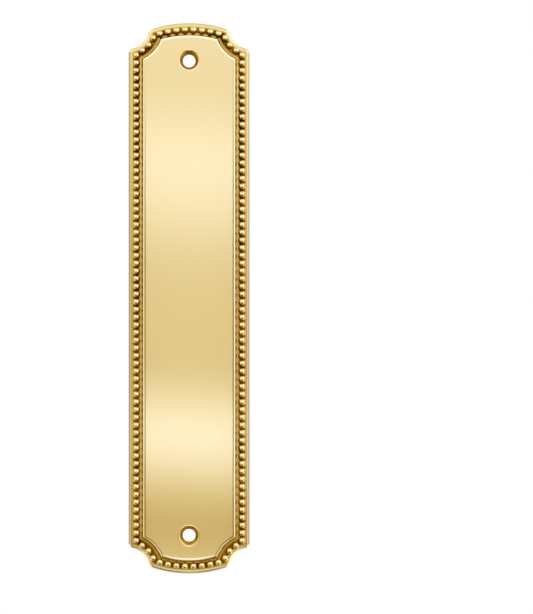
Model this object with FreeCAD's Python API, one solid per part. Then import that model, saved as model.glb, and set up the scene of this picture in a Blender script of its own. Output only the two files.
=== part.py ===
# Door finger plate: a single brass casting, long and narrow, with a row of pearl beads all
# round its border, a raised plain panel, and a countersunk screw hole near each end.
#
# Millimetres. The plate is drawn lying on its back, with X across it, Y along it and Z out of
# the door. The last step stands it up: length along +Z, face to -Y, back rim on the plane Y = 0,
# and the origin at the middle of the back.
import FreeCAD, Part
import math
import os

from FreeCAD import Vector

# Outline: straight sides, bowed ends and a scooped notch at each corner
length = 300.0
width = 66.0
end_radius = 65.0
notch_radius = 11.7
notch_centre_beyond_side = 0.5
notch_centre_below_crown = 2.5
corner_radius = 1.6

# Section, in heights above the door and widths in from the edge
border_height = 2.6
edge_bevel = 1.2
panel_height = 4.6
panel_foot_inset = 7.1
wall_lean = 1.0
shoulder_radius = 2.0

# Hollow back, which leaves a flat rim against the door
rim_width = 10.0
recess_depth = 1.8
recess_lean = 0.8

# Pearl beads
bead_diameter = 4.1
bead_inset = 4.3
bead_sunk = 0.2
side_bead_pitch = 4.2
end_bead_pitch = 4.5
bead_sides = 8
bead_ring_angles = (0.0, 35.0, 65.0)

# Screw holes
screw_hole_below_crown = 21.0
screw_hole_diameter = 7.0
countersink_diameter = 10.4
countersink_angle = 90.0
hole_lip_radius = 1.0

UP = Vector(0, 0, 1)
notch_centre = Vector(width / 2 + notch_centre_beyond_side, length / 2 - notch_centre_below_crown, 0)
end_centre = Vector(0, length / 2 - end_radius, 0)


def notch_corners(inset):
    """Both ends of the upper right notch, on a line drawn that far inside the plate's edge.

    The first is where the straight side meets the notch, the second where the notch meets the bow.
    """
    side_x = width / 2 - inset
    notch_r = notch_radius + inset
    bow_r = end_radius - inset
    drop = math.sqrt(notch_r**2 - (notch_centre.x - side_x) ** 2)
    low = Vector(side_x, notch_centre.y - drop, 0)
    between = notch_centre - end_centre
    gap = between.Length
    along = (bow_r**2 - notch_r**2 + gap**2) / (2 * gap)
    across = math.sqrt(bow_r**2 - along**2)
    u = between / gap
    high = end_centre + u * along + Vector(-u.y, u.x, 0) * across
    return low, high


def arc_middle(centre, start, end):
    """The point half-way along the short arc about centre from start to end."""
    towards = (start + end) / 2 - centre
    return centre + towards / towards.Length * (start - centre).Length


def outline(inset):
    """The plate's outline, drawn that far inside its edge, as a closed wire."""
    low, high = notch_corners(inset)
    middle = arc_middle(notch_centre, low, high)
    crown_y = length / 2 - inset
    edges = []
    for sx, sy in ((1, 1), (-1, 1), (-1, -1), (1, -1)):
        notch = [Vector(p.x * sx, p.y * sy, 0) for p in (low, middle, high)]
        edges.append(Part.Arc(*notch).toShape())
    for s in (1, -1):
        edges.append(Part.makeLine(Vector(s * low.x, -low.y, 0), Vector(s * low.x, low.y, 0)))
        bow = (Vector(-high.x, s * high.y, 0), Vector(0, s * crown_y, 0), Vector(high.x, s * high.y, 0))
        edges.append(Part.Arc(*bow).toShape())
    return Part.Wire(Part.sortEdges(edges)[0])


def slab(inset, bottom, top):
    """The outline at that inset, made solid between two heights."""
    solid = Part.Face(outline(inset)).extrude(UP * (top - bottom))
    solid.translate(UP * bottom)
    return solid


def lean_wall(solid, top, drop, lean):
    """The solid with the upper part of its wall leaning inwards, as a casting leaves its mould.

    An extrusion lists its walls before its ends, so a chamfer's first size runs down the wall.
    """
    return solid.makeChamfer(drop, lean, level_edges(solid, top))


def upright_edges(solid):
    """The solid's straight edges that stand along Z."""
    found = []
    for edge in solid.Edges:
        if len(edge.Vertexes) == 2 and abs(edge.tangentAt(edge.FirstParameter).z) > 0.999:
            found.append(edge)
    return found


def level_edges(solid, height):
    """The solid's edges that lie at that height."""
    found = []
    for edge in solid.Edges:
        box = edge.BoundBox
        if abs(box.ZMin - height) < 1e-4 and abs(box.ZMax - height) < 1e-4:
            found.append(edge)
    return found


def make_body():
    """The casting without beads and holes: bevelled border, raised panel and hollow back."""
    border = slab(0, 0, border_height)
    border = border.makeFillet(corner_radius, upright_edges(border))
    border = border.makeChamfer(edge_bevel, level_edges(border, border_height))
    panel = slab(panel_foot_inset, 0, panel_height)
    panel = lean_wall(panel, panel_height, panel_height - border_height, wall_lean)
    panel = panel.makeFillet(shoulder_radius, level_edges(panel, panel_height))
    recess = slab(rim_width, -recess_depth, recess_depth)
    recess = lean_wall(recess, recess_depth, recess_depth, recess_lean)
    return border.fuse(panel).cut(recess)


def drill(body):
    """The body with its two countersunk screw holes, each with a softened lip."""
    countersink_r = countersink_diameter / 2
    hole_r = screw_hole_diameter / 2
    depth = (countersink_r - hole_r) / math.tan(math.radians(countersink_angle / 2))
    hole_y = length / 2 - screw_hole_below_crown
    for y in (hole_y, -hole_y):
        hole = Part.makeCylinder(hole_r, panel_height, Vector(0, y, 0), UP)
        sink = Part.makeCone(hole_r, countersink_r, depth, Vector(0, y, panel_height - depth), UP)
        body = body.cut(hole.fuse(sink))
    mouths = [edge for edge in level_edges(body, panel_height) if edge.Closed]
    return body.makeFillet(hole_lip_radius, mouths)


def points_along(edge, pitch):
    """Points from one end of an edge to the other, spaced evenly at about the pitch."""
    gaps = max(1, round(edge.Length / pitch))
    return edge.discretize(gaps + 1)


def bead_centres():
    """The middle of every bead, in the drawing plane: two straight rows and the row round each end."""
    low, high = notch_corners(bead_inset)
    middle = arc_middle(notch_centre, low, high)
    crown = Vector(0, length / 2 - bead_inset, 0)
    right_notch = Part.Arc(low, middle, high).toShape()
    bow = Part.Arc(high, crown, Vector(-high.x, high.y, 0)).toShape()
    left_notch = right_notch.mirror(Vector(0, 0, 0), Vector(1, 0, 0))
    end_row = points_along(Part.Wire([right_notch, bow, left_notch]), end_bead_pitch)
    side_row = points_along(Part.makeLine(Vector(low.x, -low.y, 0), low), side_bead_pitch)
    centres = []
    for s in (1, -1):
        centres += [Vector(s * p.x, p.y, 0) for p in side_row]
        centres += [Vector(p.x, s * p.y, 0) for p in end_row[1:-1]]
    return centres


def make_bead(centre):
    """One bead: a domed stud with a few flat sides, sunk a little into the border."""
    radius = bead_diameter / 2
    foot = centre + UP * (border_height - bead_sunk)
    rings = []
    for tilt in bead_ring_angles:
        ring_r = radius * math.cos(math.radians(tilt))
        height = radius * math.sin(math.radians(tilt))
        turns = [2 * math.pi * k / bead_sides for k in range(bead_sides + 1)]
        rings.append([foot + Vector(ring_r * math.cos(t), ring_r * math.sin(t), height) for t in turns])
    top = foot + UP * radius
    faces = [Part.Face(Part.makePolygon(rings[0]))]
    for k in range(bead_sides):
        for lower, upper in zip(rings, rings[1:]):
            quad = (lower[k], lower[k + 1], upper[k + 1], upper[k], lower[k])
            faces.append(Part.Face(Part.makePolygon(quad)))
        cap = (rings[-1][k], rings[-1][k + 1], top, rings[-1][k])
        faces.append(Part.Face(Part.makePolygon(cap)))
    return Part.makeSolid(Part.makeShell(faces))


def make_finger_plate():
    """The whole plate, stood up with its back to the door."""
    body = drill(make_body())
    beads = [make_bead(centre) for centre in bead_centres()]
    plate = body.fuse(beads)
    plate.rotate(Vector(0, 0, 0), Vector(1, 0, 0), 90)
    return plate


os.makedirs("parts", exist_ok=True)
finger_plate = make_finger_plate()
finger_plate.Solids[0].exportStep("parts/finger_plate.step")
print("beads", len(bead_centres()), "solids", len(finger_plate.Solids), "valid", finger_plate.isValid())
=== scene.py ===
import math
import random

import bmesh
import bpy
from mathutils import Matrix, Vector


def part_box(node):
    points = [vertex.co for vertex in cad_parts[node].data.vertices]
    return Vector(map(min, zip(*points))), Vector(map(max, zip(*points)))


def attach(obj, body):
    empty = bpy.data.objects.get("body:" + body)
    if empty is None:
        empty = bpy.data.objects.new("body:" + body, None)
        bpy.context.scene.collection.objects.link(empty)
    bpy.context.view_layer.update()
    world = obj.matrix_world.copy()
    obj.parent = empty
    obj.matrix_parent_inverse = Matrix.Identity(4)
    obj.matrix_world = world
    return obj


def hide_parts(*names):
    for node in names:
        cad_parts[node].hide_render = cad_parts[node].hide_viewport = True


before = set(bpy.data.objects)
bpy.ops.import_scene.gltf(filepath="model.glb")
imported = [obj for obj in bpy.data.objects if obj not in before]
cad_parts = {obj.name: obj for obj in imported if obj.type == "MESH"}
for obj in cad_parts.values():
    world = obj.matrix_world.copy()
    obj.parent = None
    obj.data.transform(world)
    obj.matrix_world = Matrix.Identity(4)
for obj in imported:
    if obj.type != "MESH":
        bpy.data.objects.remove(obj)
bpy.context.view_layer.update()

MM = 0.001
# Points closer together than this, in millimetres, count as one place
TOUCHING = 0.001
OUT_OF_DOOR = Vector((0, -1, 0))
UP = Vector((0, 0, 1))

# The outline, as the CAD has it
plate_low, plate_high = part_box("finger_plate")
half_width = plate_high.x / MM
half_length = plate_high.z / MM
panel_height = -plate_low.y / MM
end_radius = 65.0
notch_radius = 11.7
notch_centre_beyond_side = 0.5
notch_centre_below_crown = 2.5

# The section, in heights above the door and widths in from the edge
border_height = 2.6
edge_bevel = 1.2
side_corner_radius = 2.4
crown_corner_radius = 3.8
inner_corner_radius = 0.12
panel_foot_inset = 7.25
panel_nearer_at_bow = 0.5
wall_lean = 0.7
panel_lip_width = 1.05
panel_lip_drop = 0.15
panel_lip_radius = 0.6
panel_lip_steps = 6
rim_width = 10.0
recess_depth = 1.8
recess_lean = 0.8

# How far in from the panel's edge and the recess's edge their flat middles are filled
panel_fill_inset = 2.0
recess_fill_inset = 0.8

# Softening of the other edges, as polishing leaves them: its width and its steps
bevel_softening = (0.15, 3)
wall_foot_softening = (0.3, 4)
lip_end_softening = (0.42, 4)
back_softening = (0.25, 2)
countersink_foot_softening = (0.1, 2)
bore_back_softening = (0.2, 2)

# Pearl beads
bead_radius = 2.15
bead_inset = 4.3
notch_row_inset = 3.6
side_row_below_crown = 18.1
bead_centre_height = 2.35
side_bead_gaps = 63
end_bead_gaps = 15
bead_bed = 1.25
bead_rounds = 16
bead_rings = 8
bead_unevenness = 0.012
bead_seed = 7

# Screw holes
screw_hole_below_crown = 21.0
screw_hole_radius = 3.5
countersink_radius = 5.2
hole_lip_radius = 1.0
hole_lip_steps = 5
hole_surround = 1.2
hole_rounds = 72

# How much painted shade and dullness these places get, from 0 in the open to 1, by how deep in a
# crevice they lie
bed_shade_and_dullness = 1.0
channel_shade_and_dullness = 0.25
end_channel_shade_and_dullness = 0.55
wall_shade_and_dullness = 0.8
hole_shade_and_dullness = 0.68
hollow_shade_and_dullness = 0.35

# Over which widths and heights those depths come and go, and the play in a height that is looked up
height_slack = 0.05
rim_fade_start = 1.0
hole_back_fade = 0.6
hole_mouth_fade = 0.3
outer_bed_fade = 0.3
inner_bed_fade = 0.1
channel_fade = 1.0
end_channel_fade = 5.0
wall_fade = 0.3
lip_open_drop = 0.27
lip_shut_drop = 0.45

# A bead's painted shade: it is open outwards and upwards, by the first two shares, and painted darker
# where it is shut, towards the panel and down. Its painted shade and dullness start at one share of its
# height and are full at another, and its open side keeps only a share of them. The rises say between
# which openness and shutness those shares change.
bead_open_outwards = 0.64
bead_open_upwards = 0.77
bead_crevice_start = 0.92
bead_full_where_open = 0.4
bead_full_where_shut = 0.75
bead_full_rise = (0, 0.8)
bead_share_where_open = 0.35
bead_share_rise = (-0.3, 0.6)

# Edges where the faces turn by more than this stay sharp
sharp_angle = math.radians(32)

# Steps along the outline
side_steps = 14
corner_steps = 5
notch_steps = 26
bow_steps = 24

notch_centre = Vector(
    (half_width + notch_centre_beyond_side, 0, half_length - notch_centre_below_crown)
)
end_centre = Vector((0, 0, half_length - end_radius))
hole_z = half_length - screw_hole_below_crown
side_row_end = half_length - side_row_below_crown


def notch_corners(side_inset, notch_inset, bow_inset):
    """Where the right side meets the upper notch, and where that notch meets the bow.

    The side, the notch and the bow each have an inset of their own.
    """
    side_x = half_width - side_inset
    notch_r = notch_radius + notch_inset
    bow_r = end_radius - bow_inset
    low = Vector((side_x, 0, notch_centre.z - math.sqrt(notch_r**2 - (notch_centre.x - side_x) ** 2)))
    between = notch_centre - end_centre
    gap = between.length
    along = (bow_r**2 - notch_r**2 + gap**2) / (2 * gap)
    across = math.sqrt(bow_r**2 - along**2)
    u = between / gap
    high = end_centre + u * along + Vector((-u.z, 0, u.x)) * across
    return low, high


def turn(vector):
    """The angle of a vector on the face, from +X towards +Z."""
    return math.atan2(vector.z, vector.x)


def short_way(angle):
    """The same turn, brought to less than half a circle either way."""
    return (angle + math.pi) % (2 * math.pi) - math.pi


def spun(bm, vertex, centre, angle, steps):
    """Draws an arc from the vertex round an axis out of the door, and returns its far end."""
    centre = Vector((centre.x, vertex.co.y, centre.z))
    made = bmesh.ops.spin(
        bm, geom=[vertex], cent=centre, axis=OUT_OF_DOOR, dvec=(0, 0, 0), angle=short_way(angle),
        steps=steps, use_merge=False, use_duplicate=False,
    )
    return next(v for v in made["geom_last"] if isinstance(v, bmesh.types.BMVert))


def quarter_line(bm, inset, bow_inset, height, side_radius, crown_radius):
    """A line round the upper right quarter of the plate, at that inset and height.

    The bow has an inset of its own. The two radii round the corners, at the side and at the crown.
    """
    low = notch_corners(inset + side_radius, inset + side_radius, bow_inset + side_radius)[0]
    high = notch_corners(inset + crown_radius, inset + crown_radius, bow_inset + crown_radius)[1]
    to_notch = turn(notch_centre - low)
    from_high = turn(notch_centre - high)
    bow_start = turn(high - end_centre)
    before = set(bm.edges)
    end = bm.verts.new((half_width - inset, -height, 0))
    for k in range(side_steps):
        end = bmesh.ops.extrude_vert_indiv(bm, verts=[end])["verts"][0]
        end.co.z = low.z * (k + 1) / side_steps
    end = spun(bm, end, low, to_notch, corner_steps)
    end = spun(bm, end, notch_centre, turn(high - notch_centre) - to_notch - math.pi, notch_steps)
    end = spun(bm, end, high, bow_start - from_high, corner_steps)
    spun(bm, end, end_centre, math.pi / 2 - bow_start, bow_steps)
    return [e for e in bm.edges if e not in before]


def number_line(bm, edges, number):
    """Writes the line's number on its points, so that it is found again after mirroring."""
    layer = bm.verts.layers.int.get("line") or bm.verts.layers.int.new("line")
    for edge in edges:
        for vertex in edge.verts:
            vertex[layer] = number


def line(bm, number):
    """The edges of the line with that number."""
    layer = bm.verts.layers.int["line"]
    return [e for e in bm.edges if e.verts[0][layer] == number and e.verts[1][layer] == number]


def rim_at(bm, height):
    """The open edges at that height."""
    rim = [e for e in bm.edges if e.is_boundary]
    return [e for e in rim if all(abs(v.co.y + height) < TOUCHING for v in e.verts)]


def soften(bm, edges, width, segments):
    """Rounds these edges."""
    bmesh.ops.bevel(
        bm, geom=edges, offset=width, offset_type="OFFSET", segments=segments, profile=0.5,
        affect="EDGES", clamp_overlap=True, material=-1, loop_slide=True,
    )


def tangent_length(radius, turned):
    """How far from a sharp edge its rounding starts, where the faces turn by that angle."""
    return radius * math.tan(turned / 2)


def screw_hole(bm, z, number):
    """The wall, countersink and flat surround of a screw hole, turned from its section."""
    sink_foot = panel_height - (countersink_radius - screw_hole_radius)
    section = (
        (screw_hole_radius + hole_surround, recess_depth),
        (screw_hole_radius, recess_depth),
        (screw_hole_radius, sink_foot),
        (countersink_radius, panel_height),
        (countersink_radius + hole_surround, panel_height),
    )
    layer = bm.verts.layers.int["line"]
    points = [bm.verts.new((radius, -height, z)) for radius, height in section]
    for k, point in enumerate(points):
        point[layer] = number + k
    edges = [bm.edges.new(pair) for pair in zip(points, points[1:])]
    bmesh.ops.spin(
        bm, geom=points + edges, cent=(0, 0, z), axis=OUT_OF_DOOR, dvec=(0, 0, 0), angle=2 * math.pi,
        steps=hole_rounds, use_merge=True, use_duplicate=False,
    )


def share(value, low, high):
    """How far the value has come from low to high, from 0 to 1."""
    return min(max((value - low) / (high - low), 0), 1)


def blend(first, second, part):
    """The value that part of the way from the first to the second."""
    return first + (second - first) * part


def inset_of(point):
    """How far inside the plate's edge a point of the face lies."""
    x, z = abs(point.x), abs(point.z)
    to_side = half_width - x
    to_bow = end_radius - math.hypot(x, z - end_centre.z) if z > end_centre.z else end_radius
    to_notch = math.hypot(x - notch_centre.x, z - notch_centre.z) - notch_radius
    return min(to_side, to_bow, to_notch)


def casting_shade_and_dullness(point):
    """How much painted shade and dullness a point of the casting gets, by how deep it lies.

    It is most under the beads, and less beside them, in the holes and in the hollow back.
    """
    height = -point.y
    from_hole = math.hypot(point.x, abs(point.z) - hole_z)
    inset = inset_of(point)
    if height < recess_depth + height_slack:
        hollow = hollow_shade_and_dullness * share(height, 0, recess_depth) * share(inset, rim_fade_start, rim_width)
        at_bore = share(from_hole, screw_hole_radius + hole_back_fade, screw_hole_radius)
        return max(hollow, hole_shade_and_dullness * at_bore)
    in_hole = hole_shade_and_dullness * share(
        from_hole, countersink_radius + hole_mouth_fade, countersink_radius - hole_mouth_fade,
    )
    if height < border_height - height_slack:
        return in_hole
    outer_bed = share(bead_inset - inset, bead_radius + outer_bed_fade, bead_bed)
    inner_bed = share(inset - bead_inset, bead_radius + inner_bed_fade, bead_bed)
    bed = bed_shade_and_dullness * min(outer_bed, inner_bed)
    to_end = share(abs(point.z), side_row_end - end_channel_fade, side_row_end)
    channel = blend(channel_shade_and_dullness, end_channel_shade_and_dullness, to_end)
    channel = channel * share(inset, bead_inset, bead_inset + channel_fade)
    wall = wall_shade_and_dullness * share(height, border_height, border_height + wall_fade)
    below_lip = share(height, panel_height - lip_open_drop, panel_height - lip_shut_drop)
    return max(max(bed, channel, wall) * below_lip, in_hole)


def bead_shade_and_dullness(point, outward):
    """The painted shade and dullness of a point of a bead: most at its foot, and higher up on its shut
    side.
    """
    open_side = bead_open_outwards * outward + bead_open_upwards * UP
    flat = Vector((point.x, 0, point.z))
    shut = -open_side.dot(flat.normalized())
    full_at = blend(bead_full_where_open, bead_full_where_shut, share(shut, *bead_full_rise))
    foot = share(-point.y, bead_crevice_start * bead_radius, full_at * bead_radius)
    return bed_shade_and_dullness * foot * blend(bead_share_where_open, 1, share(shut, *bead_share_rise))


def mark_shade_and_dullness(bm, shade_and_dullness_at):
    """Writes on each point how much painted shade and dullness it gets, from 0 in the open to 1."""
    layer = bm.verts.layers.float.new("crevice")
    for vertex in bm.verts:
        vertex[layer] = shade_and_dullness_at(vertex.co)


def casting():
    """The plate without its beads, as a closed skin."""
    bm = bmesh.new()
    panel_edge = panel_foot_inset + wall_lean
    recess_edge = rim_width + recess_lean
    sharp = (inner_corner_radius, inner_corner_radius)
    round_edge = (side_corner_radius, crown_corner_radius)
    round_land = (side_corner_radius - edge_bevel, crown_corner_radius - edge_bevel)
    sections = (
        (recess_edge + recess_fill_inset, recess_depth, sharp),
        (recess_edge, recess_depth, sharp),
        (rim_width, 0, sharp),
        (0, 0, round_edge),
        (0, border_height - edge_bevel, round_edge),
        (edge_bevel, border_height, round_land),
        (bead_inset - bead_radius, border_height, sharp),
        (bead_inset - bead_bed, border_height, sharp),
        (bead_inset + bead_bed, border_height, sharp),
        (bead_inset + bead_radius, border_height, sharp),
        (panel_foot_inset, border_height, sharp),
        (panel_edge, panel_height - panel_lip_drop, sharp),
        (panel_edge + panel_lip_width, panel_height, sharp),
        (panel_edge + panel_fill_inset, panel_height, sharp),
    )
    recess_line, rim_line, back_line, wall_line, bevel_line = 2, 3, 4, 5, 6
    channel_line, foot_line, lip_line, lip_end_line = 10, 11, 12, 13
    lines = []
    for number, (inset, height, corner_radii) in enumerate(sections, 1):
        bow_inset = inset - panel_nearer_at_bow if number >= channel_line else inset
        lines.append(quarter_line(bm, inset, bow_inset, height, *corner_radii))
        number_line(bm, lines[-1], number)
    for lower, upper in zip(lines, lines[1:]):
        bmesh.ops.bridge_loops(bm, edges=lower + upper)
    for axis in ("X", "Z"):
        whole = bm.verts[:] + bm.edges[:] + bm.faces[:]
        bmesh.ops.mirror(bm, geom=whole, matrix=Matrix.Identity(4), merge_dist=TOUCHING, axis=axis)
    hole_numbers = (20, 30)
    # Which of a hole's lines these are, counted from its own number
    bore_back, countersink_foot, hole_lip = 1, 2, 3
    for z, number in zip((hole_z, -hole_z), hole_numbers):
        screw_hole(bm, z, number)
    for height in (recess_depth, panel_height):
        bmesh.ops.triangle_fill(
            bm, use_beauty=True, use_dissolve=False, edges=rim_at(bm, height), normal=OUT_OF_DOOR,
        )
    bmesh.ops.recalc_face_normals(bm, faces=bm.faces)
    wall_slope = math.atan2(panel_height - panel_lip_drop - border_height, wall_lean)
    lip_slope = math.atan2(panel_lip_drop, panel_lip_width)
    lip_width = tangent_length(panel_lip_radius, wall_slope - lip_slope)
    hole_lip_width = tangent_length(hole_lip_radius, math.pi / 4)
    soften(bm, line(bm, lip_end_line), *lip_end_softening)
    soften(bm, line(bm, lip_line), lip_width, panel_lip_steps)
    soften(bm, line(bm, foot_line), *wall_foot_softening)
    for number in (bevel_line, wall_line):
        soften(bm, line(bm, number), *bevel_softening)
    for number in (recess_line, rim_line, back_line):
        soften(bm, line(bm, number), *back_softening)
    for number in hole_numbers:
        soften(bm, line(bm, number + hole_lip), hole_lip_width, hole_lip_steps)
        soften(bm, line(bm, number + countersink_foot), *countersink_foot_softening)
        soften(bm, line(bm, number + bore_back), *bore_back_softening)
    # Painted shade and dullness of the casting, by how deep each point lies, written on its points
    mark_shade_and_dullness(bm, casting_shade_and_dullness)
    return bm


def bead_row_points():
    """Every bead's middle and its direction to the edge: the two side rows, then both end rows."""
    low, high = notch_corners(bead_inset, notch_row_inset, bead_inset)
    notch_r = notch_radius + notch_row_inset
    bow_r = end_radius - bead_inset
    notch_start = turn(low - notch_centre)
    notch_sweep = short_way(turn(high - notch_centre) - notch_start)
    notch_length = notch_r * abs(notch_sweep)
    bow_start = turn(high - end_centre)
    below_notch = low.z - side_row_end
    half_row = below_notch + notch_length + bow_r * (math.pi / 2 - bow_start)
    rows = []
    for k in range(side_bead_gaps + 1):
        for side in (1, -1):
            point = Vector((side * low.x, 0, side_row_end * (2 * k / side_bead_gaps - 1)))
            rows.append((point, Vector((side, 0, 0))))
    for k in range(1, end_bead_gaps):
        travelled = 2 * half_row * k / end_bead_gaps
        side = 1 if travelled <= half_row else -1
        along = min(travelled, 2 * half_row - travelled) - below_notch
        if along < notch_length:
            angle = notch_start + notch_sweep * along / notch_length
            centre, radius, outward = notch_centre, notch_r, -1
        else:
            angle = bow_start + (along - notch_length) / bow_r
            centre, radius, outward = end_centre, bow_r, 1
        ray = Vector((math.cos(angle), 0, math.sin(angle)))
        point = centre + ray * radius
        for end in (1, -1):
            mirrored = [Vector((side * v.x, 0, end * v.z)) for v in (point, ray * outward)]
            rows.append(tuple(mirrored))
    return rows


def bead():
    """One round bead as a mesh: flat side on the plane Y = 0, dome out of the door."""
    bm = bmesh.new()
    facing = Matrix.Rotation(math.pi / 2, 4, "X")
    bmesh.ops.create_uvsphere(
        bm, u_segments=bead_rounds, v_segments=bead_rings, radius=bead_radius, matrix=facing,
    )
    whole = bm.verts[:] + bm.edges[:] + bm.faces[:]
    bmesh.ops.bisect_plane(
        bm, geom=whole, dist=TOUCHING, plane_co=(0, 0, 0), plane_no=(0, 1, 0), clear_outer=True,
    )
    bmesh.ops.holes_fill(bm, edges=[e for e in bm.edges if e.is_boundary], sides=0)
    mesh = bpy.data.meshes.new("bead")
    bm.to_mesh(mesh)
    bm.free()
    mesh.attributes.new("crevice", "FLOAT", "POINT")
    return mesh


def pearl_beads():
    """A bead on each point of the bead rows, with the small unevenness of cast ones."""
    bm = bmesh.new()
    pattern = bead()
    chance = random.Random(bead_seed)
    for point, outward in bead_row_points():
        cast = pattern.copy()
        for vertex, shade_and_dullness in zip(cast.vertices, cast.attributes["crevice"].data):
            # Painted shade and dullness of the bead, darker at its foot and on its side towards the
            # panel and down
            shade_and_dullness.value = bead_shade_and_dullness(vertex.co, outward)
        place = Matrix.Translation((point.x, -bead_centre_height, point.z))
        size = 1 + chance.uniform(-bead_unevenness, bead_unevenness)
        cast.transform(place @ Matrix.Scale(size, 4))
        bm.from_mesh(cast)
        bpy.data.meshes.remove(cast)
    return bm


def finished(name, drawings):
    """Brings the drawings together, to metres, and makes them one smooth shaded object."""
    mesh = bpy.data.meshes.new(name)
    bm = bmesh.new()
    for drawing in drawings:
        drawing.to_mesh(mesh)
        drawing.free()
        bm.from_mesh(mesh)
    bmesh.ops.scale(bm, vec=(MM, MM, MM), verts=bm.verts)
    bm.to_mesh(mesh)
    bm.free()
    mesh.shade_smooth()
    mesh.set_sharp_from_angle(angle=sharp_angle)
    piece = bpy.data.objects.new(name, mesh)
    flats = piece.modifiers.new("flats stay flat", "WEIGHTED_NORMAL")
    flats.keep_sharp = True
    bpy.context.scene.collection.objects.link(piece)
    return piece


def node(tree, kind, **settings):
    """A new node with these settings."""
    made = tree.nodes.new(kind)
    for name, value in settings.items():
        setattr(made, name, value)
    return made


def feed(tree, socket, value):
    """Links a socket to the value, or writes a plain number or colour on it."""
    if isinstance(value, bpy.types.NodeSocket):
        tree.links.new(value, socket)
    else:
        socket.default_value = value


def calc(tree, operation, *values):
    """A Math node over these values."""
    made = node(tree, "ShaderNodeMath", operation=operation)
    for socket, value in zip(made.inputs, values):
        feed(tree, socket, value)
    return made.outputs[0]


def step(tree, value, low, high, out_low=0.0, out_high=1.0):
    """A smooth step from out_low to out_high, as the value goes from low to high."""
    made = node(tree, "ShaderNodeMapRange", interpolation_type="SMOOTHSTEP")
    for socket, given in zip(made.inputs, (value, low, high, out_low, out_high)):
        feed(tree, socket, given)
    return made.outputs[0]


def mixed(tree, kind, factor, first, second):
    """A Mix node of the FLOAT or RGBA kind."""
    made = node(tree, "ShaderNodeMix", data_type=kind)
    sockets = [s for s in made.inputs if s.enabled]
    for socket, value in zip(sockets, (factor, first, second)):
        feed(tree, socket, value)
    return next(s for s in made.outputs if s.enabled)


def levels(tree, value, stops, top):
    """A smooth curve of grey levels: pairs of place (0 to 1) and level, none over top."""
    made = node(tree, "ShaderNodeValToRGB")
    ramp = made.color_ramp
    ramp.interpolation = "CARDINAL"
    while len(ramp.elements) < len(stops):
        ramp.elements.new(0.5)
    for element, (place, level) in zip(ramp.elements, stops):
        element.position = place
        element.color = (level / top, level / top, level / top, 1)
    feed(tree, made.inputs[0], value)
    return calc(tree, "MULTIPLY", made.outputs[0], top)


def by_elevation(stops):
    """Turns elevations in degrees into places along the sine of the elevation, from 0 to 1."""
    return [((math.sin(math.radians(e)) + 1) / 2, level) for e, level in stops]


# Studio light as brightness by elevation in degrees: in front of the plate, to both sides of
# that, and level with the plate's face
front_light = (
    (-90, 0.5), (-64, 0.35), (-54, 0.1), (-44, 0.1), (-36, 0.5), (-29, 1.3), (-17, 1.3),
    (-11.5, 0.9), (-9.2, 0.57), (-7.0, 0.83), (-4.3, 1.3), (-1.4, 0.86), (0.6, 0.82), (5.0, 0.91),
    (9.6, 1.22), (14.5, 0.98), (26, 1.42), (40, 1.35), (56, 0.95), (90, 0.7),
)
side_light = (
    (-90, 0.4), (-60, 0.25), (-42, 0.1), (-28, 0.1), (-19, 0.4), (-12, 1.2), (0, 1.4),
    (30, 1.42), (46, 1.25), (62, 0.9), (90, 0.7),
)
flank_light = (
    (-90, 0.35), (-72, 0.45), (-52, 1.15), (-30, 1.2), (-14, 0.62), (14, 0.66), (35, 1.15),
    (60, 1.0), (90, 0.65),
)
brightest = 1.5

# Between which directions, in degrees to the side, the front light gives way to the side light, that
# one to the flank light, and the warm light to a neutral one
front_to_side = (12.0, 32.0)
side_to_flank = (45.0, 80.0)
near_face_level = (74.0, 86.0)

# How much the bands rise, and the light grows, towards +X
band_tilt = 0.05
side_growth = 0.2
flank_growth = 0.12

# A dim gap beside the front light, for the edges that look there: degrees to the side where it
# starts and ends, the height that it stays under, and how much light it takes
gap_start = (3.0, 5.0)
gap_end = (14.0, 11.0)
gap_top = (0.3, 0.1)
gap_dimming = -0.85

# The warm light's red and blue, as powers of its brightness
red_power = 0.72
blue_power = 1.95

# Between which shares of the way to the back a reflection turns plain white
white_behind = (0.3, 0.7)


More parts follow.
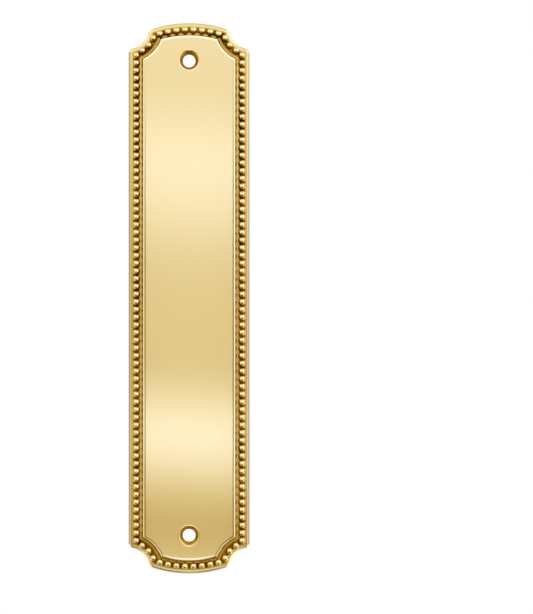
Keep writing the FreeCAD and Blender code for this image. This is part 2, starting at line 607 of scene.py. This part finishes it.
def studio_world():
    """The light all round: white where the camera sees it, a soft studio elsewhere."""
    world = bpy.data.worlds.new("studio")
    world.use_nodes = True
    tree = world.node_tree
    tree.nodes.clear()
    direction = node(tree, "ShaderNodeSeparateXYZ")
    feed(tree, direction.inputs[0], node(tree, "ShaderNodeTexCoord").outputs["Generated"])
    x, y, z = direction.outputs
    aside = calc(tree, "ARCTAN2", calc(tree, "ABSOLUTE", x), calc(tree, "MULTIPLY", y, -1.0))
    aside = calc(tree, "DEGREES", aside)
    height = calc(tree, "MULTIPLY_ADD", x, band_tilt, z)
    place = calc(tree, "MULTIPLY_ADD", height, 0.5, 0.5)
    front = levels(tree, place, by_elevation(front_light), brightest)
    side = levels(tree, place, by_elevation(side_light), brightest)
    side = calc(tree, "MULTIPLY", side, calc(tree, "MULTIPLY_ADD", x, side_growth, 1.0))
    flank = levels(tree, place, by_elevation(flank_light), brightest)
    flank = calc(tree, "MULTIPLY", flank, calc(tree, "MULTIPLY_ADD", x, flank_growth, 1.0))
    light = mixed(tree, "FLOAT", step(tree, aside, *front_to_side), front, side)
    light = mixed(tree, "FLOAT", step(tree, aside, *side_to_flank), light, flank)
    gap = calc(tree, "MULTIPLY", step(tree, aside, *gap_start), step(tree, aside, *gap_end))
    gap = calc(tree, "MULTIPLY", gap, step(tree, z, *gap_top))
    light = calc(tree, "MULTIPLY", light, calc(tree, "MULTIPLY_ADD", gap, gap_dimming, 1.0))
    neutral = step(tree, aside, *near_face_level)
    red, blue = (
        calc(tree, "POWER", light, mixed(tree, "FLOAT", neutral, power, 1.0))
        for power in (red_power, blue_power)
    )
    colour = node(tree, "ShaderNodeCombineColor")
    for socket, level in zip(colour.inputs, (red, light, blue)):
        feed(tree, socket, level)
    ray = node(tree, "ShaderNodeLightPath")
    behind = calc(tree, "MULTIPLY", ray.outputs["Is Glossy Ray"], step(tree, y, *white_behind))
    shown = calc(tree, "MAXIMUM", ray.outputs["Is Camera Ray"], ray.outputs["Is Transmission Ray"])
    shown = calc(tree, "MAXIMUM", shown, behind)
    background = node(tree, "ShaderNodeBackground")
    feed(tree, background.inputs["Color"], mixed(tree, "RGBA", shown, colour.outputs[0], (1, 1, 1, 1)))
    output = node(tree, "ShaderNodeOutputWorld")
    feed(tree, output.inputs["Surface"], background.outputs[0])
    bpy.context.scene.world = world


# How much a crevice's painted reflection deepens the red, green and blue of the brass, and its painted
# shade darkens them all
crevice_painted_reflection = (2.2, 2.6, 4.0)
crevice_painted_shade = -0.95

# Faint clouds and polishing strokes: their noise scales per metre and detail
cloud_scale = 90.0
cloud_detail = 3.0
stroke_scales = (2600.0, 900.0, 70.0)
stroke_detail = 2.0

# From the lower to the upper of two cloud levels, a crevice keeps the first to the second share of its
# painted shade and dullness
patchiness = (0.3, 0.7, 0.8, 1.0)

# The clouds' relief beside that of the strokes, and how much the strokes roughen the surface
cloud_relief = 0.6
stroke_roughness = 0.03

# The brass: its colour, how rough it is in the open and in a crevice, and the height of its relief
brass_tone = (0.89, 0.72, 0.38, 1)
open_roughness = 0.07
crevice_roughness = 0.42
relief_height = 0.004 * MM


def brass_surface_group():
    """Colour, roughness and height of worked brass, from how deep in a crevice the surface lies.

    In a crevice the light reflected from brass to brass is painted into the colour, which deepens it,
    and the crevice's shade is painted in too, which darkens it.
    """
    tree = bpy.data.node_groups.new("brass_surface", "ShaderNodeTree")
    for name, kind in (
        ("Tone", "NodeSocketColor"),
        ("Crevice", "NodeSocketFloat"),
        ("Open Roughness", "NodeSocketFloat"),
        ("Crevice Roughness", "NodeSocketFloat"),
    ):
        tree.interface.new_socket(name=name, in_out="INPUT", socket_type=kind)
    for name, kind in (
        ("Color", "NodeSocketColor"),
        ("Roughness", "NodeSocketFloat"),
        ("Height", "NodeSocketFloat"),
    ):
        tree.interface.new_socket(name=name, in_out="OUTPUT", socket_type=kind)
    given = node(tree, "NodeGroupInput").outputs
    result = node(tree, "NodeGroupOutput").inputs
    place = node(tree, "ShaderNodeTexCoord").outputs["Object"]
    cloud = node(tree, "ShaderNodeTexNoise")
    feed(tree, cloud.inputs["Vector"], place)
    cloud.inputs["Scale"].default_value = cloud_scale
    cloud.inputs["Detail"].default_value = cloud_detail
    strokes_place = node(tree, "ShaderNodeMapping")
    feed(tree, strokes_place.inputs["Vector"], place)
    strokes_place.inputs["Scale"].default_value = stroke_scales
    strokes = node(tree, "ShaderNodeTexNoise")
    feed(tree, strokes.inputs["Vector"], strokes_place.outputs[0])
    strokes.inputs["Scale"].default_value = 1.0
    strokes.inputs["Detail"].default_value = stroke_detail
    patchy = step(tree, cloud.outputs[0], *patchiness)
    shade_and_dullness = calc(tree, "MULTIPLY", given["Crevice"], patchy)
    tone = node(tree, "ShaderNodeSeparateColor")
    feed(tree, tone.inputs[0], given["Tone"])
    # Painted reflection: the colour deepened in crevices as if light went from brass to brass
    painted_reflection_tone = node(tree, "ShaderNodeCombineColor")
    for socket, level, deepening in zip(painted_reflection_tone.inputs, tone.outputs, crevice_painted_reflection):
        power = calc(tree, "MULTIPLY_ADD", shade_and_dullness, deepening, 1.0)
        feed(tree, socket, calc(tree, "POWER", level, power))
    # Painted shade: the colour darkened most where the crevices are deepest
    painted_shade_tone = node(tree, "ShaderNodeVectorMath", operation="SCALE")
    feed(tree, painted_shade_tone.inputs[0], painted_reflection_tone.outputs[0])
    painted_shade = calc(tree, "POWER", shade_and_dullness, 2.0)
    feed(tree, painted_shade_tone.inputs["Scale"], calc(tree, "MULTIPLY_ADD", painted_shade, crevice_painted_shade, 1.0))
    feed(tree, result["Color"], painted_shade_tone.outputs[0])
    rough = mixed(tree, "FLOAT", shade_and_dullness, given["Open Roughness"], given["Crevice Roughness"])
    rough = calc(tree, "MULTIPLY_ADD", strokes.outputs[0], stroke_roughness, rough)
    feed(tree, result["Roughness"], rough)
    relief = calc(tree, "MULTIPLY_ADD", cloud.outputs[0], cloud_relief, strokes.outputs[0])
    feed(tree, result["Height"], relief)
    return tree


def brass_material(name):
    """Polished brass, with its crevices duller, and darker by painted shade."""
    material = bpy.data.materials.new(name)
    material.use_nodes = True
    tree = material.node_tree
    shader = tree.nodes["Principled BSDF"]
    shader.inputs["Metallic"].default_value = 1.0
    surface = node(tree, "ShaderNodeGroup", node_tree=brass_surface_group())
    surface.inputs["Tone"].default_value = brass_tone
    surface.inputs["Open Roughness"].default_value = open_roughness
    surface.inputs["Crevice Roughness"].default_value = crevice_roughness
    shade_and_dullness = node(tree, "ShaderNodeAttribute", attribute_name="crevice")
    feed(tree, surface.inputs["Crevice"], shade_and_dullness.outputs["Fac"])
    feed(tree, shader.inputs["Base Color"], surface.outputs["Color"])
    feed(tree, shader.inputs["Roughness"], surface.outputs["Roughness"])
    relief = node(tree, "ShaderNodeBump")
    relief.inputs["Strength"].default_value = 1.0
    relief.inputs["Distance"].default_value = relief_height
    feed(tree, relief.inputs["Height"], surface.outputs["Height"])
    feed(tree, shader.inputs["Normal"], relief.outputs[0])
    return material


plate = finished("finger_plate_casting", (casting(), pearl_beads()))
plate.data.materials.append(brass_material("polished_brass"))
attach(plate, "root")
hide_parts("finger_plate")

studio_world()

# The floor lies well below the plate, which hangs on its door
floor_drop = 1.2
floor_reach = 0.2
floor_rounds = 96
floor_colour = (0.86, 0.86, 0.85, 1)
floor_roughness = 0.9
floor_mesh = bpy.data.meshes.new("floor")
floor_drawing = bmesh.new()
bmesh.ops.create_circle(
    floor_drawing, cap_ends=True, segments=floor_rounds, radius=floor_reach,
    matrix=Matrix.Translation((0, 0, -floor_drop)),
)
floor_drawing.to_mesh(floor_mesh)
floor_drawing.free()
floor = bpy.data.objects.new("floor", floor_mesh)
bpy.context.scene.collection.objects.link(floor)
pale = bpy.data.materials.new("pale_floor")
pale.use_nodes = True
floor_shader = pale.node_tree.nodes["Principled BSDF"]
floor_shader.inputs["Base Color"].default_value = floor_colour
floor_shader.inputs["Roughness"].default_value = floor_roughness
floor.data.materials.append(pale)

# The camera looks level at the plate, from a little below its middle. Its lens is shifted, because
# the plate's middle is left of the picture's middle.
camera_distance = 0.6
camera_below_middle = 0.03
camera_data = bpy.data.cameras.new("camera")
camera_data.lens = 64.4
camera_data.sensor_width = 36.0
camera_data.shift_x = 0.1260
camera_data.shift_y = 0.0754
camera = bpy.data.objects.new("camera", camera_data)
camera.location = (0, -camera_distance, -camera_below_middle)
camera.rotation_euler = (math.pi / 2, 0, 0)
bpy.context.scene.collection.objects.link(camera)
bpy.context.scene.camera = camera
bpy.context.scene.view_settings.view_transform = "Standard"
